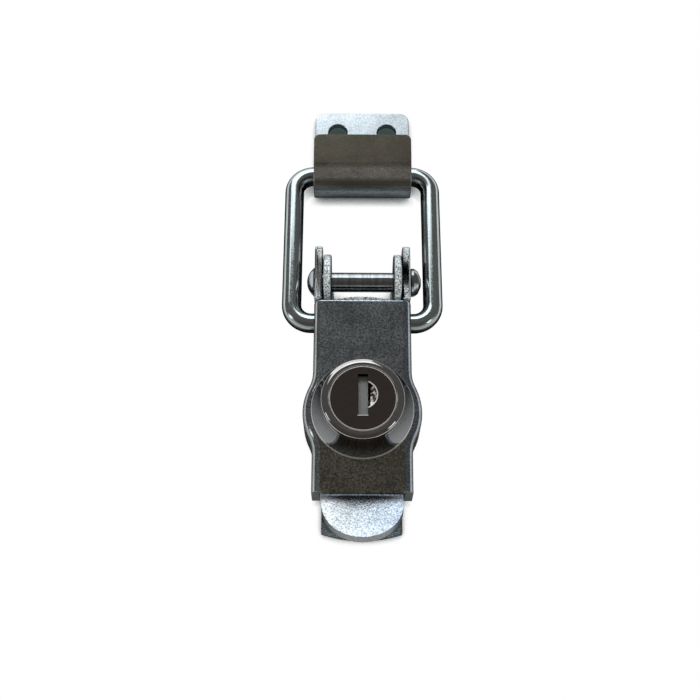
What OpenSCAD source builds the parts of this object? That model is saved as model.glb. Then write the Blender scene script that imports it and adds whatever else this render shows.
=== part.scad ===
// Lockable over-centre latch with its hooked keeper, closed, lying on the mounting plane.
// X runs across the latch, Y from the finger tongue to the keeper, Z out of the mounting plane.
// The origin is the centre of the base's four screw holes, on the mounting plane.

/* [Pressed sheet] */
// Thickness of the sheet that the base, the lever and the keeper are pressed from
sheet_t = 2; // [1.8:0.1:2.1]
// Outside radius of the bends along the lever's sides
lever_bend_r = 2.3; // [2.2:0.1:2.8]
// Outside radius of the bends along the base's sides and under its catch tab
base_bend_r = 2.5; // [2.2:0.1:2.8]
// Gap between the base's sides and the lever's sides
side_gap = 0.25; // [0.15:0.05:0.4]

/* [Lever] */
// Width across the lever's sides, away from the hips
lever_w = 24.2; // [23.6:0.1:25.4]
// Height of the lever's face above the mounting plane
lever_h = 14.5; // [14:0.1:15.5]
// Distance from the pivot to the near edge of the face
face_start = 6.8; // [6.8:0.1:7.2]
// Distance from the pivot to the far end of the sides
lever_len = 55.7; // [54:0.1:58]
// Height of the lower edge of the sides above the mounting plane
side_foot = 3; // [2.6:0.1:3.6]
// Corner radius at the far end of the sides
side_corner_r = 2; // [1:0.1:3]
// Radius of the lever's ears round the pivot
lever_ear_r = 9.1; // [8.4:0.1:9.2]
// Drop from the face to the top edge of the ears
ear_drop = 0.6; // [0.4:0.1:1.2]
// Corner radius at the top of the ears' noses
ear_corner_r = 1.6; // [1:0.1:2]
// Outside radius of the hips that clear the lock
hip_r = 14.5; // [14.2:0.1:14.7]
// Distance from the lock's axis to where the hips have run out into the straight sides
hip_reach = 10.5; // [10:0.1:11]

/* [Finger tongue] */
// Radius of the tongue's round end, half its width
tongue_r = 9.6; // [9:0.1:9.6]
// Angle at which the tongue rises from the face
tongue_angle = 25; // [20:1:30]
// Radius of the tongue's bend, on its upper side
tongue_bend_r = 3; // [2:0.1:4]
// Length of the flat tongue from its bend to its tip
tongue_len = 11.7; // [11:0.1:13]

/* [Pivot rivet] */
// Height of the pivot above the mounting plane
pivot_h = 9.5; // [9.4:0.1:10]
// Diameter of the rivet's shank
rivet_d = 5; // [4.6:0.1:5.4]
// Diameter of the rivet's heads
rivet_head_d = 7.4; // [7:0.1:8]
// Height of the round head
dome_h = 1.9; // [1.6:0.1:2.2]
// Height of the peened head
peen_h = 2.7; // [2.2:0.1:2.8]
// Gap under each head, so the lever turns freely
head_gap = 0.1; // [0.05:0.05:0.2]
// Gap round the shank in the ears
rivet_gap = 0.05; // [0.03:0.01:0.1]

/* [Wire bail] */
// Diameter of the bail's wire
wire_d = 5; // [4.6:0.1:5.2]
// Width across the outside of the bail
bail_w = 41.1; // [40.6:0.1:43]
// Distance between the centres of the bail's two end bars
bail_pitch = 43.8; // [42:0.1:48]
// Radius of the bail's corners, at the middle of the wire
bail_corner_r = 5.1; // [4.5:0.1:6]
// Distance of the bail's pivot behind the lever's pivot
bar_back = 10.5; // [10.4:0.1:11]
// Drop of the bail's pivot below the lever's pivot
bar_drop = 2; // [1.8:0.1:2.2]
// Gap round the bail's bar in the lever's sides
bar_gap = 0.08; // [0.05:0.01:0.1]

/* [Base plate] */
// Distance from the pivot to the floor's keeper end
floor_start = 0.5; // [0.2:0.1:1.5]
// Radius of the floor's slightly rounded ends
floor_end_r = 31; // [26:1:60]
// Corner radius of the floor's tongue end
floor_corner_r = 1; // [0.5:0.1:2]
// Radius of the base's ears round the pivot
base_ear_r = 7.1; // [6.6:0.1:7.1]
// Distance from the pivot to the back end of the ears' sides
ear_back = 17.5; // [16:0.1:18]
// Gap between the base's low sides and the bail's bar over them
rail_gap = 0.5; // [0.4:0.1:0.8]
// Distance from the pivot to the start of the stiffening rails
rail_start = 28; // [27:0.1:32]
// Distance from the pivot to the end of the stiffening rails
rail_end = 56; // [50:0.1:57]
// Diameter of the screw holes in the base and the keeper
screw_hole_d = 5.2; // [5:0.1:5.6]
// Spacing of the screw holes across the latch, in the base and the keeper
screw_pitch_x = 13.4; // [12.6:0.1:13.6]
// Spacing of the base's screw holes along the latch
screw_pitch_y = 38.2; // [37.8:0.1:40]
// Distance from the pivot to the base's first pair of screw holes
screw_start = 22.3; // [21.8:0.1:22.8]
// Distance from the base's last pair of screw holes to the floor's tongue end
floor_edge = 4.1; // [3.9:0.1:6]

/* [Lock catch] */
// Width of the catch tab that stands up from the floor
catch_w = 10.2; // [10:0.1:11]
// Thickness of the arm over the cam
catch_arm_t = 2; // [1.6:0.1:2]
// Width of the catch's post beside the cam
catch_post_w = 1.9; // [1.6:0.1:2]
// Gap between the catch and the lock's body
catch_gap = 0.9; // [0.7:0.1:1]
// Gap between the cam and the catch's arm over it
cam_gap = 0.3; // [0.2:0.05:0.4]
// Width of the slits beside the tab
slit_w = 0.4; // [0.3:0.1:0.6]
// Length of the window that the tab is bent out of, past the tab
window_len = 7.2; // [6:0.1:7.6]

/* [Keeper] */
// Width of the keeper
keeper_w = 25.7; // [24:0.1:27]
// Length of the keeper from the closed end of its hook to its screw end
keeper_len = 28; // [27.8:0.1:30]
// Height of the hook
hook_h = 12.8; // [12.6:0.1:13.4]
// Length of the hook's flap, past the bend
flap_len = 8.4; // [7.6:0.1:8.8]
// Corner radius of the keeper's plate
plate_corner_r = 2.5; // [1.5:0.1:3]
// Corner radius of the hook's flap
flap_corner_r = 1.6; // [1:0.1:2.5]
// Distance from the keeper's screw holes to its screw end
keeper_hole_edge = 6.2; // [5.4:0.1:6.2]
// Gap between the bail's bar and the hook
seat_gap = 0.3; // [0.2:0.05:0.3]

/* [Lock housing] */
// Distance from the pivot to the lock's axis
lock_back = 35.7; // [35.3:0.1:36.1]
// Height of the lock's head above the lever's face
head_h = 9.2; // [8.4:0.1:10]
// Radius of the head's skirt where it meets the face
skirt_r = 12.4; // [11.8:0.1:12.8]
// Height of the skirt's straight lower edge
skirt_edge_h = 0.7; // [0.4:0.1:1]
// Radius of the head's rounded rim
rim_r = 9.85; // [9.6:0.05:10.2]
// Radius of the rounding on the rim
rim_round_r = 1.3; // [1:0.1:1.4]
// Radius of the housing's threaded body
body_r = 9; // [8.8:0.1:9]
// Width across the flats of the body
body_flats = 16; // [15.6:0.1:16.6]
// Height of the body's lower end above the mounting plane
body_foot = 6.9; // [6.8:0.1:7.4]
// Gap round the body in the lever, the washer and the nut
body_gap = 0.05; // [0.03:0.01:0.1]
// Thickness of the washer under the nut
lock_washer_t = 0.5; // [0.4:0.1:0.6]
// Outside radius of the washer under the nut
lock_washer_r = 11.4; // [10.8:0.1:11.6]
// Thickness of the nut
nut_t = 2.2; // [2:0.1:2.4]
// Width across the nut's flats
nut_flats = 21.6; // [21:0.1:22]

/* [Lock plug] */
// Radius of the plug's face
plug_face_r = 7.75; // [7.4:0.05:8]
// Thickness of the plug's front flange
plug_flange_t = 2.4; // [2:0.1:3]
// Radius of the plug's barrel
barrel_r = 6.6; // [6.5:0.1:6.9]
// Gap round the plug in the housing
plug_gap = 0.08; // [0.05:0.01:0.1]
// Depth of the plug's face below the top of the rim
plug_sink = 0.12; // [0.05:0.01:0.3]
// Length of the plug's barrel past the housing's lower end
plug_proud = 0.2; // [0.1:0.05:0.3]
// Width of the keyway
keyway_w = 2.4; // [2.2:0.1:2.6]
// Length of the keyway
keyway_len = 10; // [9:0.1:10.2]
// Offset of the keyway's middle from the lock's axis
keyway_off = 0.9; // [0.6:0.1:1]
// Depth of the keyway
keyway_depth = 12.2; // [12.1:0.1:12.6]
// Radius of the half-moon recess beside the keyway
moon_r = 3.5; // [3:0.1:3.8]
// Radius of the half-moon recess at its floor
moon_floor_r = 1.9; // [1.6:0.1:2.4]
// Depth of the half-moon recess
moon_depth = 0.8; // [0.4:0.1:0.9]

/* [Wafers and shutter] */
// Thickness of a wafer
wafer_t = 0.9; // [0.7:0.1:1]
// Spacing of the wafers along the plug
wafer_pitch = 1.6; // [1.5:0.05:1.65]
// Width of a wafer
wafer_w = 5.2; // [4.8:0.1:5.6]
// Gap round a wafer in its slot
wafer_gap = 0.1; // [0.06:0.01:0.12]
// Distance from the plug's face to the middle of the first wafer
wafer_start = 5.05; // [5.05:0.05:5.1]
// Width of the window in a wafer
window_w = 2.7; // [2.5:0.1:3]
// Length of the window in a wafer
wafer_window_len = 7; // [6.6:0.1:7.6]
// Step of the wafers' windows, as the key's cuts ask
wafer_step = 0.4; // [0.3:0.1:0.5]
// Thickness of the keyway's shutter
shutter_t = 0.5; // [0.4:0.1:0.6]
// Depth of the shutter's pin below the plug's face
shutter_depth = 1.7; // [1.6:0.05:1.75]
// Radius of the shutter's pin
shutter_pin_r = 0.35; // [0.3:0.01:0.38]
// Distance of the shutter's pin from the keyway's side
shutter_pin_off = 0.4; // [0.36:0.02:0.44]
// Gap between the shutter and the keyway's walls
shutter_gap = 0.1; // [0.06:0.02:0.14]
// Length of the pin in the plug at each end
shutter_pin_in = 0.3; // [0.2:0.1:0.4]

/* [Cam] */
// Reach of the cam from the lock's axis
cam_reach = 12; // [11.6:0.1:12]
// Width of the cam's arm
cam_w = 5.2; // [4.6:0.1:5.4]
// Thickness of the cam
cam_t = 1.5; // [1.2:0.1:1.6]
// Radius of the cam's hub
cam_hub_r = 5; // [4.6:0.1:5.6]
// Width across the flats of the plug's boss in the cam
boss_flats = 5; // [4.6:0.1:5.4]
// Radius of the plug's boss
boss_r = 3.4; // [3.2:0.1:3.6]
// Gap round the boss in the cam
boss_gap = 0.05; // [0.03:0.01:0.08]
// Thickness of the washer under the cam's screw
cam_washer_t = 0.5; // [0.4:0.1:0.6]
// Radius of the washer under the cam's screw
cam_washer_r = 4.2; // [4:0.1:4.6]
// Radius of the screw's head
cam_screw_head_r = 3.4; // [3.2:0.1:3.8]
// Height of the screw's head
cam_screw_head_h = 1.8; // [1.6:0.1:2]
// Radius of the screw's shank
cam_screw_r = 1.9; // [1.6:0.1:2]
// Length of the screw in the plug
cam_screw_in = 4; // [3:0.1:4]

/* [Hidden] */
$fn = 96;
// Overrun of a cutting shape past the face that it cuts
cut = 1;
// Length of the ears' roots inside the lever's sides
ear_root = 1.2;
// Width of the relief between the ears and the ends of the bends
ear_relief = 0.4;
// Steps round the bend of the hips, and along a quarter of each hip
bend_steps = 6;
hip_steps = 10;
// The pivot and the pieces round it are laid out from the pivot's foot
pivot_y = screw_start + screw_pitch_y / 2;
floor_end = screw_start + screw_pitch_y + floor_edge;
lever_half = lever_w / 2;
base_half = lever_half - sheet_t - side_gap;
wire_r = wire_d / 2;
bar_h = pivot_h - bar_drop;
rail_h = bar_h - wire_r - rail_gap;
ear_top = lever_h - ear_drop;
// The hips run round the lock's axis and turn into the sides through an outside fillet
hip_blend_r = (pow(lever_half, 2) + pow(hip_reach, 2) - pow(hip_r, 2)) / (2 * (hip_r - lever_half));
blend_x = lever_half + hip_blend_r;
blend_a = atan2(hip_reach, blend_x);
// The bail lies from its pivot in the lever down to its seat in the hook
hook_r = hook_h / 2;
seat_h = sheet_t + wire_r + seat_gap;
seat_y = sqrt(pow(bail_pitch, 2) - pow(bar_h - seat_h, 2)) - bar_back;
bail_slope = asin((bar_h - seat_h) / bail_pitch);
keeper_end = seat_y - hook_r + keeper_len;
// The lock, from the rim down to the screw under the cam
plug_face_h = lever_h + head_h - plug_sink;
plug_foot = body_foot - plug_proud;
cam_foot = plug_foot - cam_t;
nut_foot = lever_h - sheet_t - lock_washer_t - nut_t;
shutter_pin_x = keyway_w / 2 + shutter_pin_off;
shutter_pin_h = plug_face_h - shutter_depth;
shutter_room_d = keyway_w + shutter_pin_off + shutter_pin_r;
// The catch tab stands just behind the lock's body, with its arm between the cam and the nut
catch_y = -lock_back - body_r - catch_gap;
catch_slot_top = plug_foot + cam_gap;
catch_h = min(catch_slot_top + catch_arm_t, nut_foot - cam_gap);
// Necks of the base's ears, as shares of the ears' radius: outward, and down from the pivot
ear_neck = [0.93, 0.2];
// Outline of the rivet's peened head, as shares of its radius and of its height
peen_outline = [[0.92, 0], [1, 0.35], [0.8, 0.72], [0.35, 1]];
// How far the housing's skirt is hollowed
skirt_waist = 0.35;

// Runs a profile drawn in X and Z along Y, from y0 to y1
module along_y(y0, y1) translate([0, y1, 0]) rotate([90, 0, 0]) linear_extrude(y1 - y0) children();

// Runs a profile drawn in Y and Z along X, from x0 to x1
module along_x(x0, x1) translate([x0, 0, 0]) rotate([90, 0, 90]) linear_extrude(x1 - x0) children();

// Both of a pair, one on each side of the latch
module both_sides() {
    children();
    mirror([1, 0, 0]) children();
}

// A rectangle from its lowest to its highest corner
module span(lo, hi) translate(lo) square(hi - lo);

// A quarter ring round a bend's centre, in the quarter that sx and sy point to
module quarter_ring(outer, inner, sx, sy) {
    intersection() {
        difference() {
            circle(outer);
            circle(inner);
        }
        span([min(0, sx * outer), min(0, sy * outer)], [max(0, sx * outer), max(0, sy * outer)]);
    }
}

// A rectangle with two round corners at its far end, for the ends of plates
module plate_end(half_w, y0, y1, r) {
    span([-half_w, y0], [half_w, y1 - r]);
    span([-half_w + r, y1 - r], [half_w - r, y1]);
    for (s = [-1, 1]) translate([s * (half_w - r), y1 - r]) quarter_ring(r, 0, s, 1);
}

// Half of the lever's section: depth inside the side's outer surface, and height.
// It runs up the wall and round the bend to the face, on the outside and on the inside.
function section_line(r, depth) =
    concat([[depth, side_foot]],
           [for (i = [0:bend_steps]) let (a = 90 * i / bend_steps)
               [lever_bend_r - r * cos(a), lever_h - lever_bend_r + r * sin(a)]]);

// Plan stations along a side: place of the outer surface, and its inward direction.
// They run down the straight, out and in round the lock as a hip, and down the second straight.
function side_stations() = concat(
    [[[lever_half, lock_back - face_start], [-1, 0]]],
    [for (i = [0:hip_steps]) let (a = blend_a * i / hip_steps)
        [[blend_x - hip_blend_r * cos(a), hip_reach - hip_blend_r * sin(a)], [-cos(a), -sin(a)]]],
    [for (i = [1:2 * hip_steps]) let (a = blend_a * (1 - i / hip_steps))
        [[hip_r * cos(a), hip_r * sin(a)], [-cos(a), -sin(a)]]],
    [for (i = [1:hip_steps]) let (a = blend_a * (1 - i / hip_steps))
        [[blend_x - hip_blend_r * cos(a), hip_blend_r * sin(a) - hip_reach], [-cos(a), sin(a)]]],
    [[[lever_half, lock_back - lever_len], [-1, 0]]]);

// Sides and face of the lever as one folded sheet, swept along the stations from the lock's axis
module lever_channel() {
    outer = section_line(lever_bend_r, 0);
    inner = section_line(lever_bend_r - sheet_t, sheet_t);
    stations = side_stations();
    m = len(outer);
    ring = 4 * m;
    last = len(stations) - 1;
    // Each ring goes over the outside from the right foot to the left, and back along the inside
    line = concat([for (q = outer) [1, q]], [for (j = [m - 1:-1:0]) [-1, outer[j]]],
                  [for (q = inner) [-1, q]], [for (j = [m - 1:-1:0]) [1, inner[j]]]);
    cap = [for (j = [0:2 * m - 2]) [j, j + 1, ring - 2 - j, ring - 1 - j]];
    polyhedron(
        points = [for (s = stations, l = line)
            [l[0] * (s[0].x + s[1].x * l[1].x), s[0].y + s[1].y * l[1].x, l[1].y]],
        faces = concat(
            cap,
            [for (k = [0:last - 1], j = [0:ring - 1]) let (n = (j + 1) % ring)
                [k * ring + n, k * ring + j, (k + 1) * ring + j, (k + 1) * ring + n]],
            [for (f = cap) [for (i = [3:-1:0]) last * ring + f[i]]]));
}

// Side view of one of the lever's ears, round the pivot, with its root inside the side's wall
module lever_ear_outline() {
    nose = sqrt(pow(lever_ear_r, 2) - pow(ear_top - ear_corner_r - pivot_h, 2));
    intersection() {
        translate([0, pivot_h]) circle(lever_ear_r);
        span([ear_relief - face_start, side_foot], [lever_ear_r, ear_top - ear_corner_r]);
    }
    span([-face_start - ear_root, side_foot], [0, pivot_h]);
    span([ear_relief - face_start, pivot_h], [0, ear_top - ear_corner_r]);
    span([ear_relief - face_start, ear_top - ear_corner_r], [nose - ear_corner_r, ear_top]);
    translate([nose - ear_corner_r, ear_top - ear_corner_r]) quarter_ring(ear_corner_r, 0, 1, 1);
}

// Finger tongue: its bend, then a flat plate with a round end
module tongue() {
    bend_h = lever_h + tongue_bend_r;
    bend_outer = tongue_bend_r + sheet_t;
    flat_len = tongue_len - tongue_r;
    translate([0, -lever_len, bend_h]) {
        along_x(-tongue_r, tongue_r) intersection() {
            difference() {
                circle(bend_outer);
                circle(tongue_bend_r);
            }
            polygon([[0, 0], [0, -2 * bend_outer],
                     2 * bend_outer * [-sin(tongue_angle), -cos(tongue_angle)]]);
        }
        rotate([-tongue_angle, 0, 0]) translate([0, 0, -bend_outer]) linear_extrude(sheet_t) {
            span([-tongue_r, -flat_len], [tongue_r, 0]);
            translate([0, -flat_len]) intersection() {
                circle(tongue_r);
                span([-tongue_r, -tongue_r], [tongue_r, 0]);
            }
        }
    }
}

// Cuts the round corner at the far, lower end of the lever's sides
module side_corner_cutter() {
    along_x(-lever_half - cut, lever_half + cut) translate([-lever_len, side_foot]) difference() {
        span([-cut, -cut], [side_corner_r, side_corner_r]);
        translate([side_corner_r, side_corner_r]) circle(side_corner_r);
    }
}

// Cylinder that crosses the latch, centred on x = 0
module cross_cylinder(r, len, y, z) translate([-len / 2, y, z]) rotate([0, 90, 0]) cylinder(r = r, h = len);

// The lock's body, or the hole for it: round, with two flats that stop it turning
module flatted_body(r, flats, z0, z1) {
    translate([0, -lock_back, z0]) linear_extrude(z1 - z0) intersection() {
        circle(r);
        square([flats, 2 * r + cut], center = true);
    }
}

// Lever: a pressed channel with ears, hips round the lock and a finger tongue
module lever() color([0.36, 0.37, 0.38]) translate([0, pivot_y, 0]) difference() {
    union() {
        translate([0, -lock_back, 0]) lever_channel();
        both_sides() along_x(lever_half - sheet_t, lever_half) lever_ear_outline();
        tongue();
    }
    cross_cylinder(rivet_d / 2 + rivet_gap, lever_w + 2 * cut, 0, pivot_h);
    cross_cylinder(wire_r + bar_gap, lever_w + 2 * cut, -bar_back, bar_h);
    flatted_body(body_r + body_gap, body_flats + 2 * body_gap, lever_h - sheet_t - cut, lever_h + cut);
    side_corner_cutter();
}

// Section of the base's sides: a bend at the foot and a wall
module base_section(top) {
    translate([base_half - base_bend_r, base_bend_r])
        quarter_ring(base_bend_r, base_bend_r - sheet_t, 1, -1);
    span([base_half - sheet_t, base_bend_r], [base_half, top]);
}

// Side view of the base's ears, with the low sides behind them
module base_ear_outline() {
    neck_y = base_ear_r * ear_neck.x;
    neck_h = pivot_h - base_ear_r * ear_neck.y;
    translate([0, pivot_h]) circle(base_ear_r);
    polygon([[-neck_y, 0], [-neck_y, neck_h], [0, pivot_h], [neck_y, neck_h], [-floor_start, 0]]);
    span([-ear_back, 0], [-neck_y, rail_h]);
}

// Plan of the base's floor: wide between the sides' ends, narrow where the sides are bent up
module base_floor_outline() {
    inner = base_half - base_bend_r;
    intersection() {
        span([-inner, -ear_back], [inner, -floor_start]);
        translate([0, -floor_start - floor_end_r]) circle(floor_end_r);
    }
    span([-base_half, -rail_start], [base_half, -ear_back]);
    span([-inner, -rail_end], [inner, -rail_start]);
    intersection() {
        mirror([0, 1]) plate_end(base_half, rail_end, floor_end, floor_corner_r);
        translate([0, floor_end_r - floor_end]) circle(floor_end_r);
    }
}

// Catch tab, bent up out of the floor: a post with an arm that hangs over the cam's way
module catch_tab() {
    along_x(-catch_w / 2, catch_w / 2) translate([catch_y - sheet_t + base_bend_r, base_bend_r])
        quarter_ring(base_bend_r, base_bend_r - sheet_t, -1, -1);
    translate([0, catch_y, 0]) rotate([90, 0, 0]) linear_extrude(sheet_t) difference() {
        span([-catch_w / 2, base_bend_r], [catch_w / 2, catch_h]);
        span([catch_post_w - catch_w / 2, base_bend_r - cut], [catch_w / 2 + cut, catch_slot_top]);
    }
}

// Row of screw holes across the latch
module screw_holes(y) {
    for (s = [-1, 1]) translate([s * screw_pitch_x / 2, y, -cut])
        cylinder(d = screw_hole_d, h = sheet_t + 2 * cut);
}

// Base plate: a channel with the ears for the pivot, two rails and the lock's catch
module base_plate() color([0.55, 0.58, 0.6]) translate([0, pivot_y, 0]) {
    difference() {
        union() {
            linear_extrude(sheet_t) base_floor_outline();
            both_sides() {
                intersection() {
                    along_y(-ear_back, base_ear_r) base_section(pivot_h + base_ear_r);
                    along_x(base_half - base_bend_r - cut, base_half + cut) base_ear_outline();
                }
                along_y(-rail_end, -rail_start) base_section(rail_h);
            }
        }
        cross_cylinder(rivet_d / 2 + rivet_gap, lever_w, 0, pivot_h);
        screw_holes(-screw_start);
        screw_holes(-screw_start - screw_pitch_y);
        translate([-catch_w / 2 - slit_w, catch_y - sheet_t - window_len, -cut])
            cube([catch_w + 2 * slit_w, window_len + base_bend_r, sheet_t + 2 * cut]);
    }
    catch_tab();
}

// Rivet that joins the ears: a round head, a shank and a peened head
module pivot_rivet() color([0.5, 0.52, 0.54]) translate([0, pivot_y, pivot_h]) {
    under = lever_half + head_gap;
    head_r = rivet_head_d / 2;
    dome_r = (pow(head_r, 2) + pow(dome_h, 2)) / (2 * dome_h);
    rotate([0, 90, 0]) rotate_extrude() {
        span([0, -under], [rivet_d / 2, under]);
        intersection() {
            translate([0, dome_r - under - dome_h]) circle(dome_r);
            span([0, -under - dome_h], [head_r, -under]);
        }
        polygon(concat([[0, under]], [for (p = peen_outline) [head_r * p.x, under + peen_h * p.y]],
                       [[0, under + peen_h]]));
    }
}

// Wire bail: a closed ring of round wire, hinged in the lever and caught in the hook
module bail() color([0.62, 0.66, 0.68])
    translate([0, pivot_y - bar_back, bar_h]) rotate([-bail_slope, 0, 0]) {
    half = (bail_w - wire_d) / 2;
    bar = half - bail_corner_r;
    for (y = [0, bail_pitch]) cross_cylinder(wire_r, 2 * bar, y, 0);
    both_sides() {
        translate([half, bail_pitch - bail_corner_r, 0]) rotate([90, 0, 0])
            cylinder(r = wire_r, h = bail_pitch - 2 * bail_corner_r);
        translate([bar, bail_pitch - bail_corner_r, 0]) rotate_extrude(angle = 90)
            translate([bail_corner_r, 0]) circle(wire_r);
        translate([bar, bail_corner_r, 0]) rotate([0, 0, -90]) rotate_extrude(angle = 90)
            translate([bail_corner_r, 0]) circle(wire_r);
    }
}

// Keeper: a plate with two screw holes, folded back over itself into a hook
module keeper() color([0.45, 0.42, 0.38]) translate([0, pivot_y, 0]) {
    half = keeper_w / 2;
    difference() {
        linear_extrude(sheet_t) plate_end(half, seat_y, keeper_end, plate_corner_r);
        screw_holes(keeper_end - keeper_hole_edge);
    }
    along_x(-half, half) translate([seat_y, hook_r]) intersection() {
        difference() {
            circle(hook_r);
            circle(hook_r - sheet_t);
        }
        span([-hook_r, -hook_r], [0, hook_r]);
    }
    translate([0, 0, hook_h - sheet_t]) linear_extrude(sheet_t)
        plate_end(half, seat_y, seat_y + flap_len, flap_corner_r);
}

// Point on the housing's concave skirt, from the face (t = 0) up to the rim (t = 1)
function skirt_point(t) =
    let (rim_h = head_h - rim_round_r, way = t + skirt_waist * t * (1 - t))
    [skirt_r + (rim_r - skirt_r) * way, skirt_edge_h + (rim_h - skirt_edge_h) * t];

// Lock housing: a flared head on the face, and a flatted body that goes through the lever
module lock_housing() color([0.25, 0.24, 0.24]) translate([0, pivot_y, 0]) difference() {
    steps = 8;
    union() {
        translate([0, -lock_back, lever_h]) rotate_extrude() {
            polygon(concat([[0, 0], [skirt_r, 0]], [for (i = [0:steps]) skirt_point(i / steps)],
                           [[0, head_h - rim_round_r]]));
            span([0, head_h - rim_round_r], [rim_r - rim_round_r, head_h]);
            translate([rim_r - rim_round_r, head_h - rim_round_r]) quarter_ring(rim_round_r, 0, 1, 1);
        }
        flatted_body(body_r, body_flats, body_foot, lever_h);
    }
    translate([0, -lock_back, body_foot - cut]) cylinder(r = barrel_r + plug_gap, h = lever_h + head_h);
    translate([0, -lock_back, plug_face_h - plug_flange_t])
        cylinder(r = plug_face_r + plug_gap, h = plug_flange_t + cut);
}

// A wafer, or its slot in the plug: a plate across the barrel, at its own height
module wafer_plate(i, r, w, t) {
    translate([0, -lock_back, plug_face_h - wafer_start - (i - 1) * wafer_pitch - t / 2])
        linear_extrude(t) intersection() {
            circle(r);
            square([w, 2 * r + cut], center = true);
        }
}

// Wafer with the window that the key passes through, set by the key's cut
module wafer(i) color([0.75, 0.62, 0.3]) translate([0, pivot_y, 0]) difference() {
    wafer_plate(i, barrel_r - wafer_gap, wafer_w, wafer_t);
    translate([-window_w / 2, keyway_off - lock_back - wafer_window_len / 2 + wafer_step * ((i % 3) - 1), 0])
        cube([window_w, wafer_window_len, plug_face_h]);
}

// Keyway, half-moon recess and the room that the shutter swings in
module keyway_cuts() {
    keyway_y = keyway_off - lock_back - keyway_len / 2;
    translate([-keyway_w / 2, keyway_y, plug_face_h - keyway_depth])
        cube([keyway_w, keyway_len, keyway_depth + cut]);
    intersection() {
        translate([0, keyway_off - lock_back, plug_face_h - moon_depth])
            cylinder(r1 = moon_floor_r, r2 = moon_r, h = moon_depth);
        translate([0, -2 * lock_back, 0]) cube([moon_r, 2 * lock_back, lever_h + head_h]);
    }
    room_h = shutter_room_d + shutter_gap;
    translate([0, keyway_y, shutter_pin_h - room_h])
        cube([shutter_pin_x + shutter_pin_r + shutter_gap, keyway_len,
              room_h + shutter_pin_r + shutter_gap]);
    shutter_pin(shutter_pin_r + shutter_gap / 2, keyway_len + 2 * shutter_pin_in + shutter_gap);
}

// The shutter's pin, or its hole in the plug
module shutter_pin(r, len) {
    translate([shutter_pin_x, keyway_off - lock_back + len / 2, shutter_pin_h]) rotate([90, 0, 0])
        cylinder(r = r, h = len);
}

// Spring shutter that closes the keyway behind the plug's face
module keyway_shutter() color([0.5, 0.5, 0.5]) translate([0, pivot_y, 0]) {
    len = keyway_len - 2 * shutter_gap;
    translate([shutter_gap - keyway_w / 2, keyway_off - lock_back - len / 2, shutter_pin_h - shutter_t / 2])
        cube([keyway_w / 2 - shutter_gap + shutter_pin_x, len, shutter_t]);
    shutter_pin(shutter_pin_r, keyway_len + 2 * shutter_pin_in);
}

// Plug: a flanged face and a barrel with the keyway and the wafers' slots, and a boss for the cam
module lock_plug() color([0.22, 0.2, 0.19]) translate([0, pivot_y, 0]) difference() {
    union() {
        translate([0, -lock_back, plug_foot]) cylinder(r = barrel_r, h = plug_face_h - plug_foot);
        translate([0, -lock_back, plug_face_h - plug_flange_t + plug_gap])
            cylinder(r = plug_face_r, h = plug_flange_t - plug_gap);
        flatted_body(boss_r, boss_flats, cam_foot, plug_foot);
    }
    keyway_cuts();
    for (i = [1:5]) wafer_plate(i, barrel_r + cut, wafer_w + 2 * wafer_gap, wafer_t + 2 * wafer_gap);
    translate([0, -lock_back, cam_foot - cut]) cylinder(r = cam_screw_r + boss_gap, h = cam_screw_in + cut + boss_gap);
}

// Flat washer between the lever and the nut
module housing_washer() color([0.6, 0.62, 0.64]) translate([0, pivot_y, 0]) difference() {
    foot = lever_h - sheet_t - lock_washer_t;
    translate([0, -lock_back, foot]) cylinder(r = lock_washer_r, h = lock_washer_t);
    flatted_body(body_r + body_gap, body_flats + 2 * body_gap, foot - cut, lever_h);
}

// Hexagon nut that holds the lock in the lever, corners along the lever
module housing_nut() color([0.6, 0.62, 0.64])
    translate([0, pivot_y - lock_back, nut_foot]) difference() {
    rotate([0, 0, 30]) cylinder(d = nut_flats / cos(30), h = nut_t, $fn = 6);
    translate([0, 0, -cut]) cylinder(r = body_r + body_gap, h = nut_t + 2 * cut);
}

// Cam on the plug's boss: it points across the lever unlocked, and under the catch when locked
module lock_cam() color([0.6, 0.62, 0.64]) translate([0, pivot_y, 0]) difference() {
    translate([0, -lock_back, cam_foot]) linear_extrude(cam_t) {
        circle(cam_hub_r);
        span([0, -cam_w / 2], [cam_reach - cam_w / 2, cam_w / 2]);
        translate([cam_reach - cam_w / 2, 0]) circle(cam_w / 2);
    }
    flatted_body(boss_r + boss_gap, boss_flats + 2 * boss_gap, cam_foot - cut, plug_foot + cut);
}

// Washer under the head of the cam's screw
module cam_washer() color([0.6, 0.62, 0.64])
    translate([0, pivot_y - lock_back, cam_foot - cam_washer_t]) difference() {
    cylinder(r = cam_washer_r, h = cam_washer_t);
    translate([0, 0, -cut]) cylinder(r = cam_screw_r + boss_gap, h = cam_washer_t + 2 * cut);
}

// Screw that holds the cam on the plug
module cam_screw() color([0.6, 0.62, 0.64])
    translate([0, pivot_y - lock_back, cam_foot - cam_washer_t - cam_screw_head_h]) difference() {
    union() {
        cylinder(r = cam_screw_head_r, h = cam_screw_head_h);
        cylinder(r = cam_screw_r, h = cam_screw_head_h + cam_washer_t + cam_screw_in);
    }
    translate([0, 0, cam_screw_head_h / 3]) cube([1, 2 * cam_screw_head_r + cut, cam_screw_head_h], center = true);
}

base_plate();
lever();
pivot_rivet();
bail();
keeper();
lock_housing();
lock_plug();
keyway_shutter();
wafer(1);  // wafer_1
wafer(2);  // wafer_2
wafer(3);  // wafer_3
wafer(4);  // wafer_4
wafer(5);  // wafer_5
housing_washer();
housing_nut();
lock_cam();
cam_washer();
cam_screw();
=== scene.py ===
from math import asin, cos, pi, radians, sin

import bpy
from mathutils import Matrix, Vector


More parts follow.
